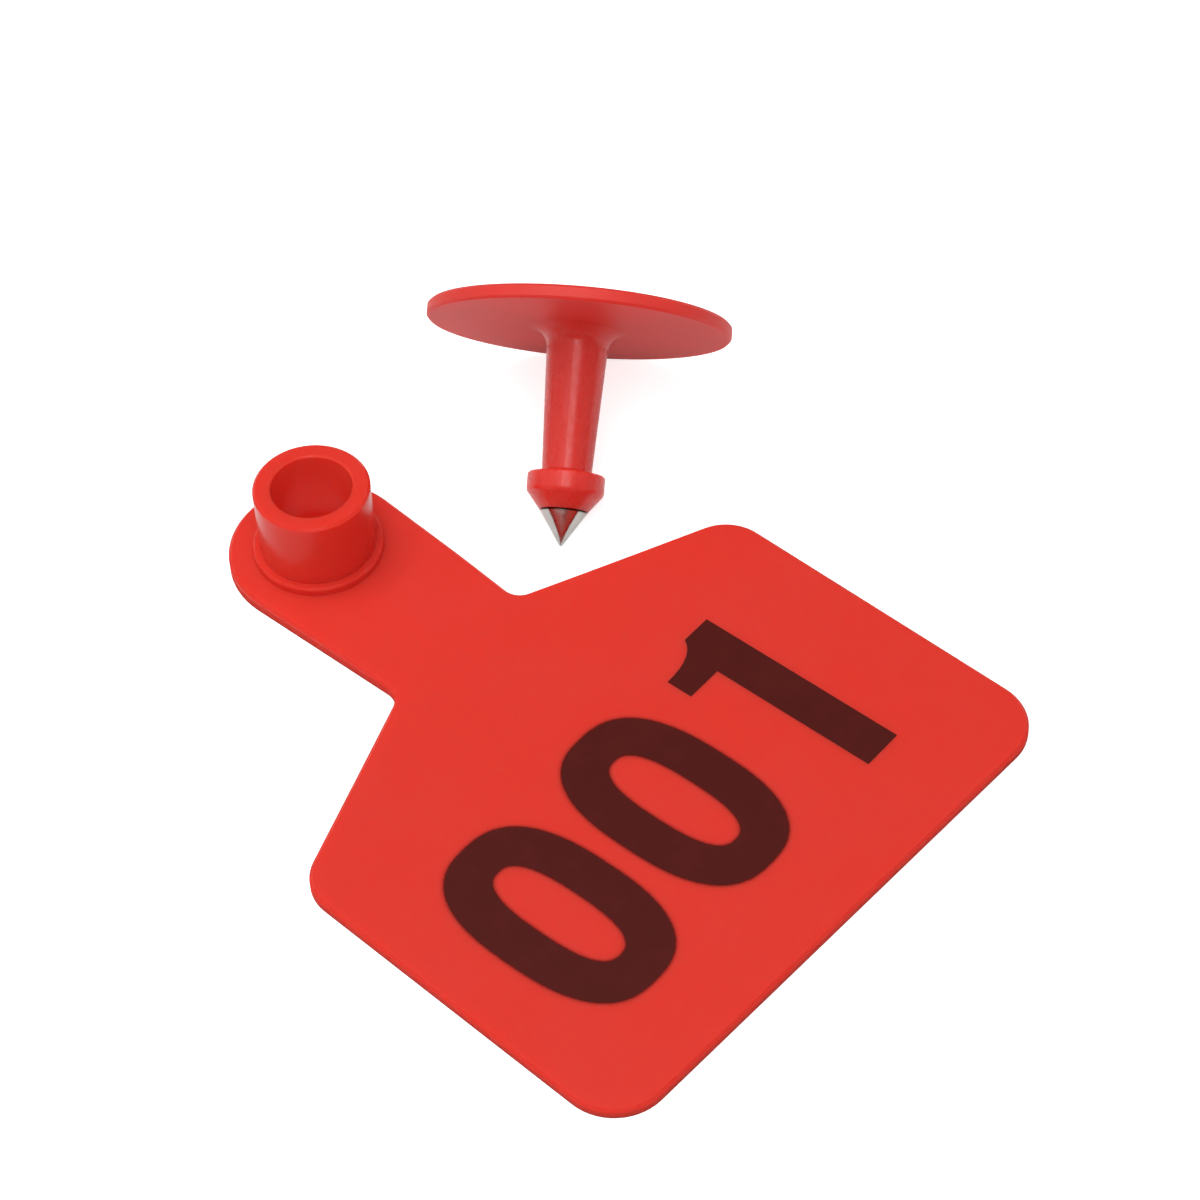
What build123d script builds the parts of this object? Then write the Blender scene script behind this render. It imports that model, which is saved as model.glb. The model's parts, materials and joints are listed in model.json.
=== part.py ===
from build123d import *
from math import acos, asin, atan2, cos, degrees, hypot, radians, sin, tan
import os

# A two-part livestock ear tag in soft plastic, lying open on a flat surface.
# The flag-shaped tag lies on its flat back. Its button stud lies beside it, on its disc's edge and its barb.
# The origin is on the socket's axis at the tag's back face, and the panel hangs towards -Y.

# Outline of the tag, seen from the number side
panel_width = 60.0
panel_top_width = 59.2
socket_to_bottom = 66.2
socket_to_top_corner = 27.4
socket_to_neck_foot = 18.6
neck_width = 16.0
head_radius = 8.8
bottom_corner_radius = 5.4
top_corner_radius = 4.6
neck_corner_radius = 2.0

# Thickness: the panel is thin, and the neck and head are stiffer
panel_thickness = 1.1
neck_thickness = 1.5
thinning_start = 9.0
thinning_end = 24.0
face_edge_chamfer = 0.3

# Socket: a tube with a collar at its foot, and a lip inside that the barb snaps past
socket_height = 10.1
socket_top_diameter = 11.3
socket_foot_diameter = 11.2
collar_diameter = 12.7
collar_height = 0.9
collar_edge_chamfer = 0.2
mouth_outer_chamfer = 0.25
mouth_inner_chamfer = 0.15
lip_diameter = 5.6
lip_thickness = 1.1
lead_in_depth = 0.4

# Stud: disc, tapered shank and barb in one moulding
disc_diameter = 30.0
disc_thickness = 1.4
shank_root_diameter = 6.2
shank_end_diameter = 4.9
shank_length = 14.4
shank_root_radius = 2.0
shank_end_flare = 0.35
barb_diameter = 7.6
barb_length = 1.8
barb_edge_chamfer = 0.15
barb_front_radius = 0.8
nose_length = 1.75
disc_edge_chamfer = 0.25

# Hole up the middle of the stud for the applicator's pin
pin_hole_diameter = 2.8
pin_hole_chamfer = 0.4

# Metal point, with a flanged stem that is moulded into the barb
point_base_diameter = 4.8
point_base_chamfer = 0.12
point_length = 3.5
point_tip_radius = 0.2
stem_diameter = 2.0
stem_length = 2.9
flange_diameter = 3.6
flange_thickness = 0.7

# Gap all round the barb in the socket's chamber, so that the closed tag turns freely
barb_clearance = 0.15

# Where the stud lies: the middle of its back face, and its axis' heading from back to tip
stud_x = 31.6
stud_y = -5.9
stud_heading = -144.5

# Tag: the outline is extruded, thinned towards the panel and given its socket
half_neck = neck_width / 2
foot_distance = hypot(half_neck, socket_to_neck_foot)
foot_angle = degrees(atan2(-socket_to_neck_foot, half_neck))
# The neck's side starts where a line from its foot touches the head's circle
neck_start_angle = foot_angle + degrees(acos(head_radius / foot_distance))

with BuildPart() as tag_panel:
    with BuildSketch():
        with BuildLine():
            head = CenterArc((0, 0), head_radius, 90, neck_start_angle - 90)
            FilletPolyline(
                head @ 1,
                (half_neck, -socket_to_neck_foot),
                (panel_top_width / 2, -socket_to_top_corner),
                (panel_width / 2, -socket_to_bottom),
                (0, -socket_to_bottom),
                radius=[neck_corner_radius, top_corner_radius, bottom_corner_radius],
            )
            mirror(about=Plane.YZ)
        make_face()
    extrude(amount=neck_thickness)

    # Everything above the smooth slope from neck to panel is cut away
    with BuildSketch(Plane.YZ.offset(-panel_width)):
        with BuildLine():
            slope = Spline(
                (-thinning_start, neck_thickness),
                (-thinning_end, panel_thickness),
                tangents=[(-1, 0), (-1, 0)],
            )
            Polyline(
                slope @ 1,
                (-2 * socket_to_bottom, panel_thickness),
                (-2 * socket_to_bottom, 2 * neck_thickness),
                (-thinning_start, 2 * neck_thickness),
                slope @ 0,
            )
        make_face()
    extrude(amount=2 * panel_width, mode=Mode.SUBTRACT)

    number_side = faces().filter_by(lambda face: face.normal_at().Z > 0.9)
    walls = faces().filter_by(lambda face: abs(face.normal_at().Z) < 0.1)
    wall_edges = walls.edges()
    chamfer(number_side.edges().filter_by(lambda edge: edge in wall_edges), face_edge_chamfer)

    # Collar and tube, turned about the socket's axis
    collar_radius = collar_diameter / 2
    collar_top = neck_thickness + collar_height
    mouth_radius = socket_top_diameter / 2
    with BuildSketch(Plane.XZ):
        with BuildLine():
            Polyline(
                (0, 0),
                (collar_radius, 0),
                (collar_radius, collar_top - collar_edge_chamfer),
                (collar_radius - collar_edge_chamfer, collar_top),
                (socket_foot_diameter / 2, collar_top),
                (mouth_radius, socket_height - mouth_outer_chamfer),
                (mouth_radius - mouth_outer_chamfer, socket_height),
                (0, socket_height),
                close=True,
            )
        make_face()
    revolve(axis=Axis.Z)

    # Lead-in, lip and chamber, from the back to the mouth
    lip_radius = lip_diameter / 2
    chamber_radius = barb_diameter / 2 + barb_clearance
    with BuildSketch(Plane.XZ):
        with BuildLine():
            Polyline(
                (0, 0),
                (lip_radius + lead_in_depth, 0),
                (lip_radius, lead_in_depth),
                (lip_radius, lip_thickness),
                (chamber_radius, lip_thickness),
                (chamber_radius, socket_height - mouth_inner_chamfer),
                (chamber_radius + mouth_inner_chamfer, socket_height),
                (0, socket_height),
                close=True,
            )
        make_face()
    revolve(axis=Axis.Z, mode=Mode.SUBTRACT)

# Stud: distances run along its axis from the middle of the disc's back
disc_radius = disc_diameter / 2
barb_radius = barb_diameter / 2
barb_start = disc_thickness + shank_length
nose_start = barb_start + barb_length
joint = nose_start + nose_length
point_radius = point_base_diameter / 2
stem_end = joint - stem_length

# The barb's front edge is rounded between its side and its nose
nose_angle = atan2(barb_radius - point_radius, nose_length)
front_centre = nose_start - barb_front_radius * tan(nose_angle / 2)
front_centre_radius = barb_radius - barb_front_radius

# The stud rests on two round edges: the disc's rim, where its front chamfer starts, and the barb's front
rim_edge = disc_thickness - disc_edge_chamfer
drop = disc_radius - front_centre_radius
reach = front_centre - rim_edge
tilt = atan2(drop, reach) - asin(barb_front_radius / hypot(drop, reach))
axis_height = disc_radius * cos(tilt) + rim_edge * sin(tilt)
heading = radians(stud_heading)
stud_side = Plane(
    origin=(stud_x, stud_y, axis_height),
    x_dir=(cos(heading) * cos(tilt), sin(heading) * cos(tilt), -sin(tilt)),
    z_dir=(sin(heading), -cos(heading), 0),
)
stud_axis = Axis(stud_side.origin, stud_side.x_dir)


def draw_anchor():
    """Draws the stem and its flange, from the joint's face inwards, down to the axis."""
    return Polyline(
        (joint, stem_diameter / 2),
        (stem_end + flange_thickness, stem_diameter / 2),
        (stem_end + flange_thickness, flange_diameter / 2),
        (stem_end, flange_diameter / 2),
        (stem_end, 0),
    )


with BuildPart() as stud_button:
    with BuildSketch(stud_side):
        with BuildLine():
            disc = Polyline(
                (0, 0),
                (0, disc_radius - disc_edge_chamfer),
                (disc_edge_chamfer, disc_radius),
                (rim_edge, disc_radius),
                (disc_thickness, disc_radius - disc_edge_chamfer),
            )
            shank = FilletPolyline(
                disc @ 1,
                (disc_thickness, shank_root_diameter / 2),
                (barb_start - shank_end_flare, shank_end_diameter / 2),
                radius=shank_root_radius,
            )
            barb = FilletPolyline(
                (barb_start + barb_edge_chamfer, barb_radius),
                (nose_start, barb_radius),
                (joint, point_radius),
                radius=barb_front_radius,
            )
            Polyline(
                shank @ 1,
                (barb_start, shank_end_diameter / 2 + shank_end_flare),
                (barb_start, barb_radius - barb_edge_chamfer),
                barb @ 0,
            )
            Polyline(barb @ 1, (joint, 0), (0, 0))
        make_face()
    revolve(axis=stud_axis)

    # Hole for the applicator's pin, down to the metal's flange
    pin_hole_radius = pin_hole_diameter / 2
    with BuildSketch(stud_side):
        with BuildLine():
            Polyline(
                (0, 0),
                (0, pin_hole_radius + pin_hole_chamfer),
                (pin_hole_chamfer, pin_hole_radius),
                (stem_end, pin_hole_radius),
                (stem_end, 0),
                close=True,
            )
        make_face()
    revolve(axis=stud_axis, mode=Mode.SUBTRACT)

    # Seat of the metal's stem and flange
    with BuildSketch(stud_side):
        with BuildLine():
            seat = draw_anchor()
            Polyline(seat @ 1, (joint, 0), seat @ 0)
        make_face()
    revolve(axis=stud_axis, mode=Mode.SUBTRACT)

# Metal point: the cone's side is tangent to its rounded tip
tip_centre = point_length - point_tip_radius
cone_angle = atan2(point_radius, tip_centre) - asin(point_tip_radius / hypot(point_radius, tip_centre))
# The base's edge is broken, so that a fine dark line shows between plastic and metal
base_edge = (joint + point_base_chamfer, point_radius - point_base_chamfer * tan(cone_angle))

with BuildPart() as stud_point:
    with BuildSketch(stud_side):
        with BuildLine():
            anchor = draw_anchor()
            tip = CenterArc(
                (joint + tip_centre, 0),
                point_tip_radius,
                0,
                90 - degrees(cone_angle),
            )
            Polyline(
                tip @ 1,
                base_edge,
                (joint, point_radius - point_base_chamfer),
                anchor @ 0,
            )
            Line(anchor @ 1, tip @ 0)
        make_face()
    revolve(axis=stud_axis)

os.makedirs("parts", exist_ok=True)

tag_panel.part.label = "tag_panel"
export_step(tag_panel.part, "parts/tag_panel.step")

stud_button.part.label = "stud_button"
export_step(stud_button.part, "parts/stud_button.step")

stud_point.part.label = "stud_point"
export_step(stud_point.part, "parts/stud_point.step")
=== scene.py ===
# %% [markdown]
# # A livestock ear tag, dressed in Blender
#
# The object is a two-part ear tag for cattle, moulded in soft red plastic. The flag-shaped tag lies on its
# back. Beside it lies the button stud, which rests on the rim of its disc and on its barb. Both halves come
# ready-made from the frame, at their real size. This lesson adds what the solids lack: the finish of each
# moulding, the polished point, the printed number and the light to see them by.

import json
from math import atan2, cos, degrees, radians, sin

import bmesh
import bpy
from mathutils import Matrix, Vector


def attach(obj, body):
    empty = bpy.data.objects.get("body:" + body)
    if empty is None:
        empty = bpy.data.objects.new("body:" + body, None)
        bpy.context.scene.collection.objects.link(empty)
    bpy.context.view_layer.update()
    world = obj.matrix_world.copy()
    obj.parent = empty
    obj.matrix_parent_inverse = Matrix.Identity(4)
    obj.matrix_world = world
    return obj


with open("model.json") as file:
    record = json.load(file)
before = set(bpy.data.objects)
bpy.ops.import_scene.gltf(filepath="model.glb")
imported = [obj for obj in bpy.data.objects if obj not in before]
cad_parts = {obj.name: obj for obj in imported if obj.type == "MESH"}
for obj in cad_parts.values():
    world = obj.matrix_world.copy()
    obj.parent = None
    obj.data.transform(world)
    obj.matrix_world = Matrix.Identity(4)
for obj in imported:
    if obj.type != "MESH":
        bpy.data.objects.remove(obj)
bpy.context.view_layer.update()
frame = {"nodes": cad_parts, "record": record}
nodes = frame["nodes"]
mounts = {mount["name"]: mount for mount in frame["record"]["mounts"]}
MM = 0.001
print("nodes:", sorted(nodes))

# %% [markdown]
# ## The camera
#
# The photograph looks down across the corner of the tag that is at the lower left as the number is read,
# from about a third of a metre away, with a long lens. A camera can be placed by eye, but an angle round the
# object, a height, a roll and a distance say the same thing in numbers that can be fitted one by one. The
# focal length is first given in pixels of the square picture, because that is what an outline measured in
# pixels yields.

# %% Place the camera
PICTURE_SIDE = 1200
FOCAL_PIXELS = 3434
SENSOR_WIDTH = 36
camera_azimuth = radians(-46.044)
camera_elevation = radians(49.048)
camera_roll = radians(-2.268)
camera_distance = 329.67 * MM
camera_target = Vector((13.735 * MM, -24.309 * MM, 0))

forward = Vector((
    -sin(camera_azimuth) * cos(camera_elevation),
    cos(camera_azimuth) * cos(camera_elevation),
    -sin(camera_elevation),
))
level_right = Vector((cos(camera_azimuth), sin(camera_azimuth), 0))
rolled_right = Matrix.Rotation(-camera_roll, 3, forward) @ level_right
rolled_up = rolled_right.cross(forward)

camera = bpy.data.objects.new("camera", bpy.data.cameras.new("camera"))
bpy.context.scene.collection.objects.link(camera)
camera.data.sensor_width = SENSOR_WIDTH
camera.data.lens = FOCAL_PIXELS / PICTURE_SIDE * SENSOR_WIDTH
turn = Matrix((rolled_right, rolled_up, -forward)).transposed()
camera.matrix_world = Matrix.LocRotScale(camera_target - forward * camera_distance, turn, None)
bpy.context.scene.camera = camera
print("lens:", round(camera.data.lens, 1), "mm, at", [round(c / MM) for c in camera.matrix_world.translation])

# %% [markdown]
# ## Writing shaders as sums
#
# A material's pattern is arithmetic on positions and noise. Wiring Math nodes by hand hides that, so a small
# class wraps a socket and lets ordinary Python operators add the nodes. Every other node comes from one
# method, which takes the node's type, its settings and the values or links of its sockets.

# %% A socket that does arithmetic
class Wire:
    """One output socket of a node tree. Operators on it add Math nodes."""

    def __init__(self, tree, socket):
        self.tree, self.socket = tree, socket

    def maths(self, operation, *values):
        return self.tree.node("ShaderNodeMath", {"operation": operation}, dict(enumerate(values)))

    def __add__(self, other):
        return self.maths("ADD", self, other)

    def __sub__(self, other):
        return self.maths("SUBTRACT", self, other)

    def __rsub__(self, other):
        return self.maths("SUBTRACT", other, self)

    def __mul__(self, other):
        return self.maths("MULTIPLY", self, other)

    def __abs__(self):
        return self.maths("ABSOLUTE", self)

    __radd__, __rmul__ = __add__, __mul__

    def step(self, low, high):
        """Rises smoothly from 0 to 1 as the value goes from low to high."""
        settings = {"interpolation_type": "SMOOTHSTEP"}
        return self.tree.node("ShaderNodeMapRange", settings, {0: self, 1: low, 2: high})


class NodeTree:
    """A node tree that is emptied and then written in order."""

    def __init__(self, owner):
        owner.use_nodes = True
        self.nodes, self.links = owner.node_tree.nodes, owner.node_tree.links
        self.nodes.clear()

    def node(self, kind, settings=None, values=None, output=0):
        """Adds a node, makes its settings, fills its sockets and gives one of its outputs, if it has any."""
        made = self.nodes.new(kind)
        for name, setting in (settings or {}).items():
            setattr(made, name, setting)
        for name, value in (values or {}).items():
            if isinstance(value, Wire):
                self.links.new(value.socket, made.inputs[name])
            else:
                made.inputs[name].default_value = value
        return Wire(self, made.outputs[output]) if made.outputs else None


print("besides its operators, a wire has:", [name for name in vars(Wire) if "__" not in name])

# %% [markdown]
# ## Colours and patterns
#
# Patterns here are measured in millimetres on the object itself, so that a grain keeps its real size from
# every side. A Mapping node can also turn them: the stud's patterns follow its own slanted axis, which the
# frame's record gives as the mount on the back of its disc. A noise is soft blobs, and where its positions
# are squeezed first, they become streaks.

# %% Small helpers for every finish
# A Mix node has sockets for numbers, vectors and colours in one row. These are the places of the colours.
MIX_SHARE, MIX_FIRST, MIX_SECOND, MIX_RESULT = 0, 6, 7, 2


def colour(red, green, blue):
    """A colour as a shader socket takes it."""
    return (red, green, blue, 1)


def places_on(tree, origin=Vector((0, 0, 0)), turned=(0, 0, 0)):
    """Positions on the piece in millimetres, seen from an origin and a turned set of axes."""
    coordinates = tree.node("ShaderNodeTexCoord", output="Object")
    values = {"Vector": coordinates, "Location": origin, "Rotation": turned, "Scale": (MM, MM, MM)}
    return tree.node("ShaderNodeMapping", {"vector_type": "TEXTURE"}, values)


def scaled(tree, places, factors):
    """The same positions with each of their three numbers multiplied."""
    return tree.node("ShaderNodeVectorMath", {"operation": "MULTIPLY"}, {0: places, 1: factors})


def off_axis(tree, places):
    """The distance from the Z axis."""
    flat = scaled(tree, places, (1, 1, 0))
    return tree.node("ShaderNodeVectorMath", {"operation": "LENGTH"}, {0: flat}, output="Value")


def noise(tree, places, grain, detail):
    """A soft noise from 0 to 1 whose blobs are about one grain wide, in millimetres."""
    values = {"Vector": places, "Scale": 1 / grain, "Detail": detail}
    return tree.node("ShaderNodeTexNoise", None, values)


def streaks(tree, places, across, along, detail):
    """A noise drawn out along X, with blobs as wide and as long as given, in millimetres."""
    squeezed = scaled(tree, places, (1 / along, 1 / across, 1 / across))
    return noise(tree, squeezed, grain=1, detail=detail)


def mixed(tree, share, first, second):
    """The first colour where share is 0, and the second where it is 1."""
    values = {MIX_SHARE: share, MIX_FIRST: first, MIX_SECOND: second}
    return tree.node("ShaderNodeMix", {"data_type": "RGBA"}, values, output=MIX_RESULT)


def coordinate(tree, places, axis):
    """One of the three numbers of a position."""
    return tree.node("ShaderNodeSeparateXYZ", None, {0: places}, output=axis)


def bumped(tree, height, depth):
    """A normal that makes a height from 0 to 1 look as deep as given, in millimetres."""
    values = {"Height": height, "Distance": depth * MM, "Strength": 1.0}
    return tree.node("ShaderNodeBump", None, values)


def surface(tree, values):
    """Ends a material in one Principled shader."""
    shader = tree.node("ShaderNodeBsdfPrincipled", None, values)
    tree.node("ShaderNodeOutputMaterial", None, {"Surface": shader})


print("helpers ready: places, noise, streaks, mixes, bumps")

# %% [markdown]
# ## Soft plastic lets light in
#
# Light goes a little way into a soft plastic and comes out beside the place where it went in, and most of
# all if it is red. That is why the inside of the socket and the shaded side of the disc still glow. The
# Principled shader does this with subsurface scattering: a weight, and for each colour the depth that the
# light reaches. Both mouldings share these numbers.

# %% How far light goes in
GLOW_DEPTH = (2.0 * MM, 0.45 * MM, 0.35 * MM)
SOFT_PLASTIC = {"Subsurface Weight": 0.8, "Subsurface Scale": 1.0, "Subsurface Radius": GLOW_DEPTH}
print("red light goes", round(GLOW_DEPTH[0] / MM, 2), "mm deep, green", round(GLOW_DEPTH[1] / MM, 2), "mm")

# %% [markdown]
# ## The tag's plastic
#
# The tag is injection-moulded in a soft, slightly cloudy red plastic. Its broad faces have a fine satin
# grain from the mould, its thin side walls are dull, and the socket's wall is smoother, so it mirrors the
# table beside it. Two reds that differ by a few hundredths and drift over several millimetres give the
# cloudiness. The grain is a bump of a few thousandths of a millimetre. The bore is thin-walled and lit from
# all round through the plastic, more than the scattering shows, so its red is written brighter: that is
# painted light, a glow painted into the bore's colour. A pair of lengths says where one finish goes over
# into the next: as distances from the socket's axis for the bore, and as heights for the socket and the
# side walls.

# %% Mix the tag's plastic
TAG_RED = colour(0.760, 0.042, 0.026)
TAG_RED_CLOUD = colour(0.740, 0.047, 0.032)
CLOUDS = {"grain": 14, "detail": 3}
CLOUD_EDGES = (0.35, 0.70)
CLOUD_SHARE = 0.7
SPECKS = {"grain": 0.9, "detail": 2}
SPECK_EDGES = (0.55, 0.80)
SPECK_SHARE = 0.2
# Painted light: a brighter red that stands for the glow through the bore's thin wall.
BORE_RED_PAINTED_GLOW = colour(0.900, 0.068, 0.044)
BORE_GLOW_EDGE = (4.2, 3.9)
SATIN_ROUGHNESS = 0.42
SMOOTH_ROUGHNESS = 0.24
SOCKET_FOOT = (2.0, 3.2)
ROUGHER_SIDES = 0.40
SIDE_WALL = (1.05, 0.90)
ROUGHNESS_DRIFT = 0.10
DRIFT_BLOBS = {"grain": 6, "detail": 2}
TAG_SHINE = 0.12
SATIN_GRAIN = {"grain": 0.22, "detail": 3}
GRAIN_DEPTH = 0.004


def tag_red(tree, places):
    """The colour of the tag's plastic: cloudy, with fine specks, and with painted light brightening the bore.
    """
    cloud = noise(tree, places, **CLOUDS).step(*CLOUD_EDGES)
    speck = noise(tree, places, **SPECKS).step(*SPECK_EDGES)
    red = mixed(tree, cloud * CLOUD_SHARE + speck * SPECK_SHARE, TAG_RED, TAG_RED_CLOUD)
    # Painted light: inside the bore the red is swapped for the brighter, painted glow.
    painted_glow_in_bore = off_axis(tree, places).step(*BORE_GLOW_EDGE)
    return mixed(tree, painted_glow_in_bore, red, BORE_RED_PAINTED_GLOW)


def satin_bump(tree, places):
    """The mould's satin grain, as a normal."""
    return bumped(tree, noise(tree, places, **SATIN_GRAIN), depth=GRAIN_DEPTH)


def make_tag_plastic():
    material = bpy.data.materials.new("red_tag_plastic")
    tree = NodeTree(material)
    places = places_on(tree)
    height = coordinate(tree, places, "Z")
    on_socket = height.step(*SOCKET_FOOT)
    on_side = height.step(*SIDE_WALL)
    smoother = on_socket * (SATIN_ROUGHNESS - SMOOTH_ROUGHNESS)
    drift = (noise(tree, places, **DRIFT_BLOBS) - 0.5) * ROUGHNESS_DRIFT
    surface(tree, {
        "Base Color": tag_red(tree, places),
        "Roughness": SATIN_ROUGHNESS - smoother + drift + on_side * ROUGHER_SIDES,
        "Specular IOR Level": TAG_SHINE,
        "Normal": satin_bump(tree, places),
        **SOFT_PLASTIC,
    })
    return material


tag_plastic = make_tag_plastic()
print("material:", tag_plastic.name, "with", len(tag_plastic.node_tree.nodes), "nodes")

# %% [markdown]
# ## The stud's plastic
#
# The stud is moulded from the same stock but polished, so its shank and barb shine more. Its disc is
# satin on both sides. The mould's two halves leave a faint parting line down the shank, and the plastic's
# flow leaves fine streaks and pores along it. Handling has dulled it in small patches, so its long shine is
# mottled: those are places of higher roughness. All of this follows the stud's own axis, so the positions
# are first turned until X runs from the disc to the point. The three reliefs are the shares of streaks,
# pores and parting line in one height, and that height is a hundredth of a millimetre deep.

# %% Find the stud's axes
stud_origin = Vector(mounts["disc_back"]["pos_m"])
stud_along = -Vector(mounts["disc_back"]["axis"])
stud_heading = atan2(stud_along.y, stud_along.x)
stud_slope = -atan2(stud_along.z, stud_along.to_2d().length)
STUD_TURN = (0, stud_slope, stud_heading)
print("the stud leans", round(degrees(stud_slope), 2), "degrees and heads", round(degrees(stud_heading), 1))

# %% Mix the stud's plastic
STUD_RED = colour(0.750, 0.039, 0.026)
STUD_RED_CLOUD = colour(0.700, 0.037, 0.026)
STUD_CLOUDS = {"grain": 8, "detail": 2}
STUD_CLOUD_SHARE = 0.6
STREAK_SHARE = 0.3
STUD_SHINE = 0.40
SHANK_ROUGHNESS = 0.22
ROUGHER_DISC = 0.32
DISC_FRONT = (1.4, 2.6)
ROUGHER_WHERE_WORN = 0.13
WORN_PATCHES = {"across": 0.8, "along": 1.6, "detail": 4}
WORN_EDGES = (0.35, 0.65)
FLOW_STREAKS = {"across": 0.35, "along": 5, "detail": 3}
PORES = {"across": 0.25, "along": 0.5, "detail": 3}
PARTING_EDGES = (0.120, 0.048)
STREAK_RELIEF, PORE_RELIEF, PARTING_RELIEF = 0.4, 0.4, 0.2
RELIEF_DEPTH = 0.012


def make_stud_plastic():
    material = bpy.data.materials.new("red_stud_plastic")
    tree = NodeTree(material)
    places = places_on(tree, stud_origin, STUD_TURN)
    flow = streaks(tree, places, **FLOW_STREAKS)
    pores = streaks(tree, places, **PORES)
    worn = streaks(tree, places, **WORN_PATCHES).step(*WORN_EDGES)
    cloud = noise(tree, places, **STUD_CLOUDS).step(*CLOUD_EDGES)
    parting = abs(coordinate(tree, places, "Y")).step(*PARTING_EDGES)
    on_shank = coordinate(tree, places, "X").step(*DISC_FRONT)
    rougher = worn * on_shank * ROUGHER_WHERE_WORN + (1 - on_shank) * ROUGHER_DISC
    relief = flow * STREAK_RELIEF + pores * PORE_RELIEF + parting * PARTING_RELIEF
    clouded = cloud * STUD_CLOUD_SHARE + flow * STREAK_SHARE
    surface(tree, {
        "Base Color": mixed(tree, clouded, STUD_RED, STUD_RED_CLOUD),
        "Roughness": SHANK_ROUGHNESS + rougher,
        "Specular IOR Level": STUD_SHINE,
        "Normal": bumped(tree, relief, depth=RELIEF_DEPTH),
        **SOFT_PLASTIC,
    })
    return material


stud_plastic = make_stud_plastic()
print("material:", stud_plastic.name, "with", len(stud_plastic.node_tree.nodes), "nodes")

# %% [markdown]
# ## The metal point
#
# The point is turned from bar and polished. A lathe leaves rings round the axis, so the noise is squeezed
# along the stud's X and bumps the surface very slightly. Metal has no colour of its own but its tint: what
# is seen in it is the white table at its sides and the red tag in its middle. Its base has a broken edge,
# and in the fine groove that this leaves beside the plastic a painted shade makes the metal dark.

# %% Polish the point
POINT_METAL = colour(0.44, 0.43, 0.41)
POINT_METAL_DULL = colour(0.32, 0.30, 0.28)
# Painted shade: a near-black colour for the shade in the groove at the point's base.
GROOVE_PAINTED_SHADE = colour(0.030, 0.015, 0.012)
GROOVE_END = (19.60, 19.46)
POLISHED_ROUGHNESS = 0.08
DULL_PATCHES = {"grain": 1.2, "detail": 3}
DULL_EDGES = (0.45, 0.75)
DULL_SHARE = 0.5
ROUGHER_WHERE_DULL = 0.08
LATHE_RINGS = {"across": 6, "along": 0.05, "detail": 2}
ROUGHER_IN_RINGS = 0.06
RING_DEPTH = 0.002


def make_point_metal():
    material = bpy.data.materials.new("point_metal")
    tree = NodeTree(material)
    places = places_on(tree, stud_origin, STUD_TURN)
    rings = streaks(tree, places, **LATHE_RINGS)
    dull = noise(tree, places, **DULL_PATCHES).step(*DULL_EDGES)
    metal = mixed(tree, dull * DULL_SHARE, POINT_METAL, POINT_METAL_DULL)
    # Painted shade: the metal turns near-black over the groove beside the plastic.
    painted_groove_shade = coordinate(tree, places, "X").step(*GROOVE_END)
    surface(tree, {
        "Base Color": mixed(tree, painted_groove_shade, metal, GROOVE_PAINTED_SHADE),
        "Metallic": 1.0,
        "Roughness": POLISHED_ROUGHNESS + dull * ROUGHER_WHERE_DULL + rings * ROUGHER_IN_RINGS,
        "Normal": bumped(tree, rings, depth=RING_DEPTH),
    })
    return material


point_metal = make_point_metal()
print("material:", point_metal.name, "with", len(point_metal.node_tree.nodes), "nodes")

# %% Dress the three nodes
for node_name, material in {
    "tag_panel": tag_plastic,
    "stud_button": stud_plastic,
    "stud_point": point_metal,
}.items():
    mesh = nodes[node_name].data
    mesh.materials.clear()
    mesh.materials.append(material)
    print(node_name, "wears", material.name)

# %% [markdown]
# ## The printed number
#
# A tag of this kind has a plain running number in dark ink that has soaked a little way into the plastic,
# so its edge is soft and slightly uneven. The number could be painted in the tag's material, but as thin
# pieces of their own the digits stay crisp at any size. Each is a skin of ink a few hundredths of a
# millimetre thick. The zeros have rims that fade into the plastic: an attribute called ink runs from 0 at
# a rim's free edge to 1 where the full ink starts, and the ink's material takes its opacity from it. The
# one has full ink up to its edge. The sizes are in millimetres.

# %% Sizes of the print
DIGIT_HEIGHT = 22.5
DIGIT_MIDDLE = -46.2
DIGIT_TURN = radians(2.3)
ZERO_WIDTH = 13.9
ZERO_STROKE = 4.35
ZERO_CAP = 4.15
ZERO_SQUARENESS = 2.6
ZERO_CENTRES = {"ink_zero_left": -18.4, "ink_zero_middle": -2.2}
ZERO_SEGMENTS = 96
ONE_RIGHT = 16.5
ONE_STROKE = 4.35
ONE_FLAG_REACH = 8.2
ONE_FLAG_DROP = 2.0
ONE_FLAG_DEPTH = 2.8
ONE_FLAG_BEND = 1.0
ONE_TOP_WIDTH = 3.3
ONE_CURVE_STEPS = 8
INK_THICKNESS = 0.02
INK_SOAK = 0.01
INK_BLEED = 0.20
INK_HALO = 0.45
NO_INK, FAINT_INK, FULL_INK = 0.0, 0.2, 1.0
LOOK_DOWN_FROM = 50


def panel_top_under(x, y):
    """The height of the tag's upper face at a place on the panel, found by looking straight down."""
    above = Vector((x, y, LOOK_DOWN_FROM)) * MM
    hit, place, _, _ = nodes["tag_panel"].ray_cast(above, Vector((0, 0, -1)))
    assert hit, "the print has to lie on the panel"
    return place.z / MM


panel_top = panel_top_under(0, DIGIT_MIDDLE)
print("the panel's face is", round(panel_top, 3), "mm above the table")

# %% Finish a flat digit into a thin skin of ink
def ink_layer(bm):
    """The vertex attribute that says how much ink there is."""
    return bm.verts.layers.float.get("ink") or bm.verts.layers.float.new("ink")


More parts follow.
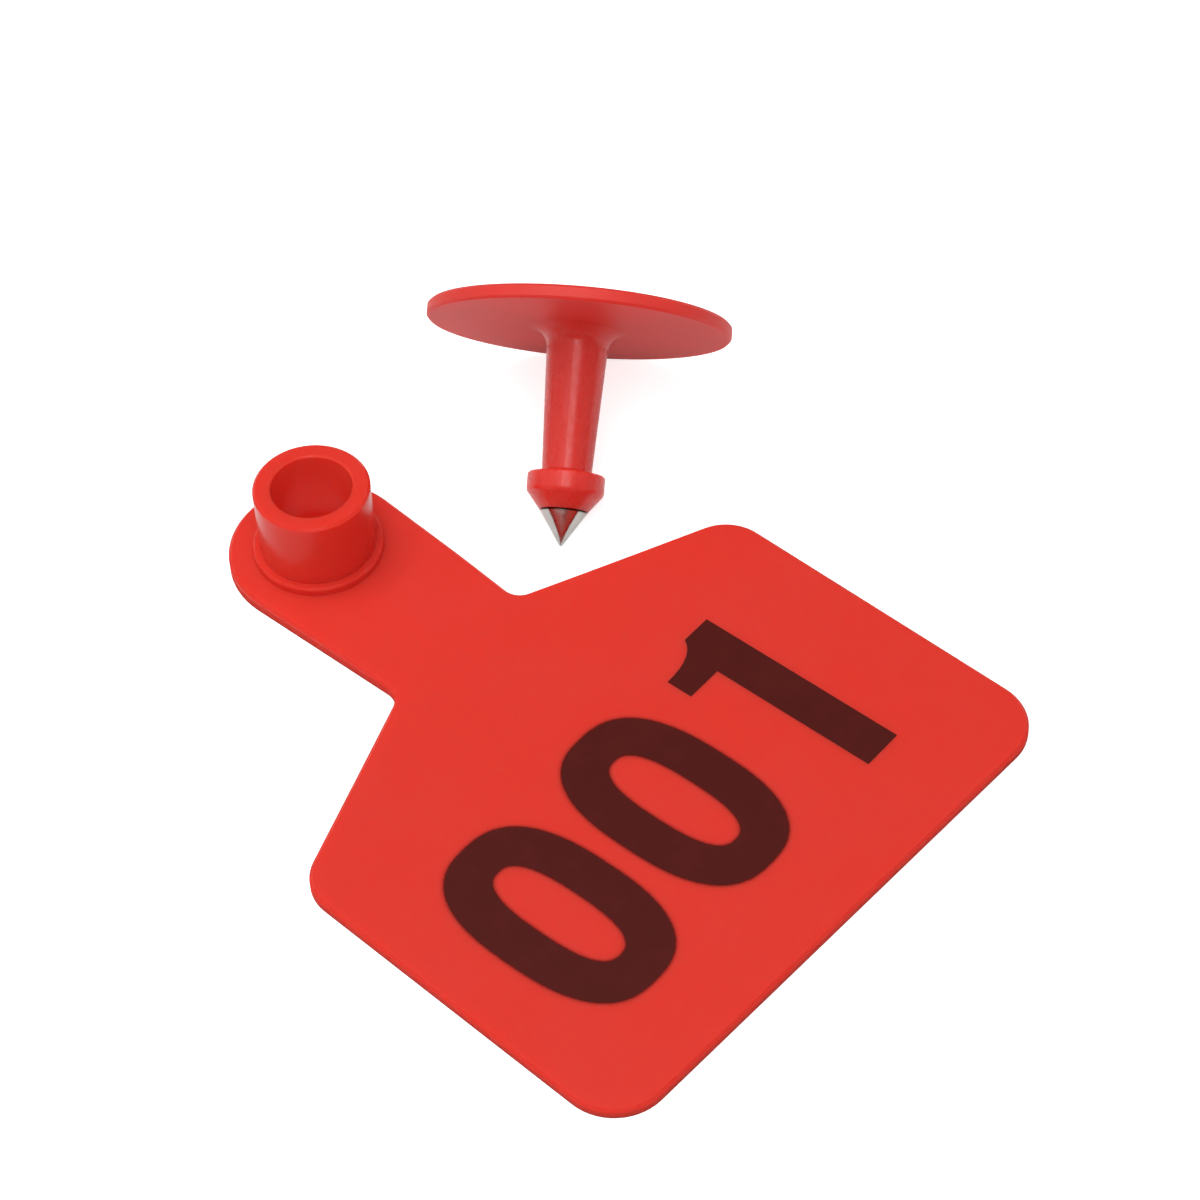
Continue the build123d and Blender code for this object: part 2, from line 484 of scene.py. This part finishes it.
def lay_on_panel(bm, name):
    """Gives a flat digit its thickness, turns it with the print and lays it on the panel."""
    grown = bmesh.ops.extrude_face_region(bm, geom=bm.faces[:])
    raised = [item for item in grown["geom"] if isinstance(item, bmesh.types.BMVert)]
    bmesh.ops.translate(bm, verts=raised, vec=(0, 0, INK_THICKNESS + INK_SOAK))
    bmesh.ops.recalc_face_normals(bm, faces=bm.faces)
    bmesh.ops.rotate(bm, verts=bm.verts, cent=(0, 0, 0), matrix=Matrix.Rotation(DIGIT_TURN, 3, "Z"))
    bmesh.ops.translate(bm, verts=bm.verts, vec=(0, 0, panel_top - INK_SOAK))
    bmesh.ops.scale(bm, verts=bm.verts, vec=(MM, MM, MM))
    mesh = bpy.data.meshes.new(name)
    bm.to_mesh(mesh)
    bm.free()
    digit = bpy.data.objects.new(name, mesh)
    bpy.context.scene.collection.objects.link(digit)
    print(name, "has", len(mesh.polygons), "faces")
    return digit


# %% [markdown]
# A zero is a ring between two rounded rectangles. Such an outline is a superellipse: an ellipse whose
# exponent is above 2. A circle of edges is bent into the outermost one, and then extruded inwards five
# times, each time to the next outline: the faded outer rim, the full ink and the faded inner rim.

# %% Draw the zeros
def superellipse_point(angle, half_width, half_height, squareness):
    """A point of the outline in a given direction of the unit circle."""
    x, y = cos(angle), sin(angle)
    reach = (abs(x) ** squareness + abs(y) ** squareness) ** (-1 / squareness)
    return Vector((x * reach * half_width, y * reach * half_height, 0))


def make_zero(name, centre):
    """One zero, from its faded outer rim to its faded inner rim."""
    outer = (ZERO_WIDTH / 2, DIGIT_HEIGHT / 2)
    inner = (outer[0] - ZERO_STROKE, outer[1] - ZERO_CAP)
    outlines = [
        (outer, INK_HALO, NO_INK),
        (outer, INK_BLEED, FAINT_INK),
        (outer, -INK_BLEED, FULL_INK),
        (inner, INK_BLEED, FULL_INK),
        (inner, -INK_BLEED, FAINT_INK),
        (inner, -INK_HALO, NO_INK),
    ]
    bm = bmesh.new()
    ink = ink_layer(bm)
    middle = Vector((centre, DIGIT_MIDDLE, 0))
    bmesh.ops.create_circle(bm, segments=ZERO_SEGMENTS, radius=1)
    bmesh.ops.translate(bm, verts=bm.verts, vec=middle)
    ring, half_sizes = bm.verts[:], (1, 1)
    for number, (size, growth, amount) in enumerate(outlines):
        if number:
            edges = [edge for edge in bm.edges if all(vert in ring for vert in edge.verts)]
            grown = bmesh.ops.extrude_edge_only(bm, edges=edges)
            ring = [item for item in grown["geom"] if isinstance(item, bmesh.types.BMVert)]
        next_sizes = [half + growth for half in size]
        for vert in ring:
            from_middle = vert.co - middle
            angle = atan2(from_middle.y / half_sizes[1], from_middle.x / half_sizes[0])
            vert.co = middle + superellipse_point(angle, *next_sizes, ZERO_SQUARENESS)
            vert[ink] = amount
        half_sizes = next_sizes
    return lay_on_panel(bm, name)


digits = [make_zero(name, centre) for name, centre in ZERO_CENTRES.items()]

# %% [markdown]
# The one is a straight bar with a short flag, whose upper side is a hollow curve. Its outline is a single
# face: seven corners and a few points along the curve. The curve is drawn between three points: a point
# slides from the first to the second, another from the second to the third, and a third between those two.
# The one has no faded rim, so all its corners get full ink.

# %% Draw the one
def one_outline():
    """The corners of the one, against the clock from the foot of its bar."""
    top = DIGIT_MIDDLE + DIGIT_HEIGHT / 2
    foot = DIGIT_MIDDLE - DIGIT_HEIGHT / 2
    left = ONE_RIGHT - ONE_STROKE
    flag_start = Vector((ONE_RIGHT - ONE_TOP_WIDTH, top))
    flag_end = Vector((ONE_FLAG_REACH, top - ONE_FLAG_DROP))
    flag_low = flag_end.y - ONE_FLAG_DEPTH
    bend = Vector((flag_start.x - ONE_FLAG_BEND, flag_end.y))
    curve = []
    for step in range(1, ONE_CURVE_STEPS):
        share = step / ONE_CURVE_STEPS
        before, after = flag_start.lerp(bend, share), bend.lerp(flag_end, share)
        curve.append(before.lerp(after, share))
    return [
        Vector((left, foot)),
        Vector((ONE_RIGHT, foot)),
        Vector((ONE_RIGHT, top)),
        flag_start,
        *curve,
        flag_end,
        Vector((flag_end.x, flag_low)),
        Vector((left, flag_low)),
    ]


def make_one(name):
    """The one, as a single face of full ink."""
    bm = bmesh.new()
    ink = ink_layer(bm)
    bm.faces.new([bm.verts.new((*corner, 0)) for corner in one_outline()])
    for vert in bm.verts:
        vert[ink] = FULL_INK
    return lay_on_panel(bm, name)


digits.append(make_one("ink_one"))

# %% [markdown]
# ## The ink
#
# The ink is a very dark brown, a little duller than the plastic. It soaks in and bleeds, so the zeros'
# edges are soft: the material's Alpha falls from full ink to a faint halo and then to nothing, where the
# tag itself shows. A fine noise keeps those edges from being quite even.

# %% Mix the ink
INK_BROWN = colour(0.074, 0.006, 0.004)
INK_BROWN_THIN = colour(0.082, 0.007, 0.005)
THIN_PATCHES = {"grain": 2.5, "detail": 3}
THIN_EDGES = (0.40, 0.75)
INK_ROUGHNESS = 0.50
RAGGED_EDGE = {"grain": 0.35, "detail": 2}
RAGGEDNESS = 0.25
HALO_EDGES = (0.00, 0.25)
HALO_COVER = 0.10
INK_EDGES = (0.22, 0.98)
INK_COVER = 0.90


def make_ink():
    material = bpy.data.materials.new("print_ink")
    tree = NodeTree(material)
    places = places_on(tree)
    amount = tree.node("ShaderNodeAttribute", {"attribute_name": "ink"}, output="Fac")
    ragged = (noise(tree, places, **RAGGED_EDGE) - 0.5) * RAGGEDNESS
    halo = amount.step(*HALO_EDGES) * HALO_COVER
    cover = (amount + ragged).step(*INK_EDGES) * INK_COVER + halo
    thin = noise(tree, places, **THIN_PATCHES).step(*THIN_EDGES)
    surface(tree, {
        "Base Color": mixed(tree, thin, INK_BROWN, INK_BROWN_THIN),
        "Alpha": cover,
        "Roughness": INK_ROUGHNESS,
        "Specular IOR Level": TAG_SHINE,
        "Normal": satin_bump(tree, places),
    })
    return material


ink_material = make_ink()
for digit in digits:
    digit.data.materials.append(ink_material)
    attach(digit, "root")
print("material:", ink_material.name, "on", [digit.name for digit in digits])

# %% [markdown]
# ## The table and the light
#
# The tag lies on a white table, which throws much of the light back up under the disc and onto the
# socket's wall. The table's own colour is therefore pale, and a last part of its white, which only the
# camera and mirror-like surfaces see, comes from Light Path. That way the table looks white without
# sending more light onto the object, and a trace of the object's shadow stays. The table ends where the
# lamps' light on it would fade, and the room beyond it looks white to the camera, so no edge is seen.

# %% Lay the table
TABLE_SIDE = 1.7
TABLE_PALE = colour(0.80, 0.80, 0.80)
TABLE_ROUGHNESS = 0.9
WHITE = colour(1, 1, 1)
TABLE_LIFT = 0.72
TABLE_MIRRORED = 0.5


def seen_or_mirrored(tree, mirrored):
    """1 for rays from the camera, less for those mirrored or passed on, and 0 for the rays that light."""
    seen, glossy, through = (tree.node("ShaderNodeLightPath", output=name)
                             for name in ("Is Camera Ray", "Is Glossy Ray", "Is Transmission Ray"))
    return seen.maths("MAXIMUM", seen, glossy.maths("MAXIMUM", glossy, through) * mirrored)


def make_table():
    bm = bmesh.new()
    bmesh.ops.create_grid(bm, x_segments=1, y_segments=1, size=TABLE_SIDE / 2)
    mesh = bpy.data.meshes.new("table")
    bm.to_mesh(mesh)
    bm.free()
    table = bpy.data.objects.new("table", mesh)
    bpy.context.scene.collection.objects.link(table)
    material = bpy.data.materials.new("table_white")
    tree = NodeTree(material)
    surface(tree, {
        "Base Color": TABLE_PALE,
        "Roughness": TABLE_ROUGHNESS,
        "Specular IOR Level": 0.0,
        "Emission Color": WHITE,
        "Emission Strength": seen_or_mirrored(tree, TABLE_MIRRORED) * TABLE_LIFT,
    })
    mesh.materials.append(material)


make_table()
print("table:", TABLE_SIDE, "m wide")

# %% [markdown]
# Light comes from a dim room and four soft boxes. The main one hangs overhead and a little behind the
# object, so that the walls towards the camera are the darkest, as in the photograph. Another hangs where
# the middle of the shank mirrors it towards the camera, and gives the long shine there. Two wide weak ones
# brighten the sides. Together they are just bright enough for a colour on a level face to render about as
# it is written. Places and sides are in metres, and powers in watts.

# %% Set up the light
ROOM_STRENGTH = 0.15
ROOM_MIRRORED = 0.1
SOFT_BOXES = {
    "box_over": {"place": (-0.05, 0.14, 0.78), "side": 0.5, "power": 3.2},
    "box_shine": {"place": (-0.33, -0.33, 0.70), "side": 0.5, "power": 2.6},
    "box_left": {"place": (-0.55, 0.35, 0.50), "side": 1.0, "power": 1.6},
    "box_right": {"place": (0.45, -0.45, 0.50), "side": 1.0, "power": 1.0},
}


def make_world():
    world = bpy.data.worlds.new("dim_room")
    bpy.context.scene.world = world
    tree = NodeTree(world)
    strength = seen_or_mirrored(tree, ROOM_MIRRORED) * (1 - ROOM_STRENGTH) + ROOM_STRENGTH
    room = tree.node("ShaderNodeBackground", None, {"Color": WHITE, "Strength": strength})
    tree.node("ShaderNodeOutputWorld", None, {"Surface": room})


def make_soft_box(name, place, side, power):
    lamp = bpy.data.lights.new(name, "AREA")
    lamp.size, lamp.energy = side, power
    holder = bpy.data.objects.new(name, lamp)
    aim = camera_target - Vector(place)
    holder.matrix_world = Matrix.LocRotScale(Vector(place), aim.to_track_quat("-Z", "Y"), None)
    bpy.context.scene.collection.objects.link(holder)


make_world()
for name, box in SOFT_BOXES.items():
    make_soft_box(name, **box)
bpy.context.scene.view_settings.view_transform = "Standard"
print("lights:", list(SOFT_BOXES))

# %% [markdown]
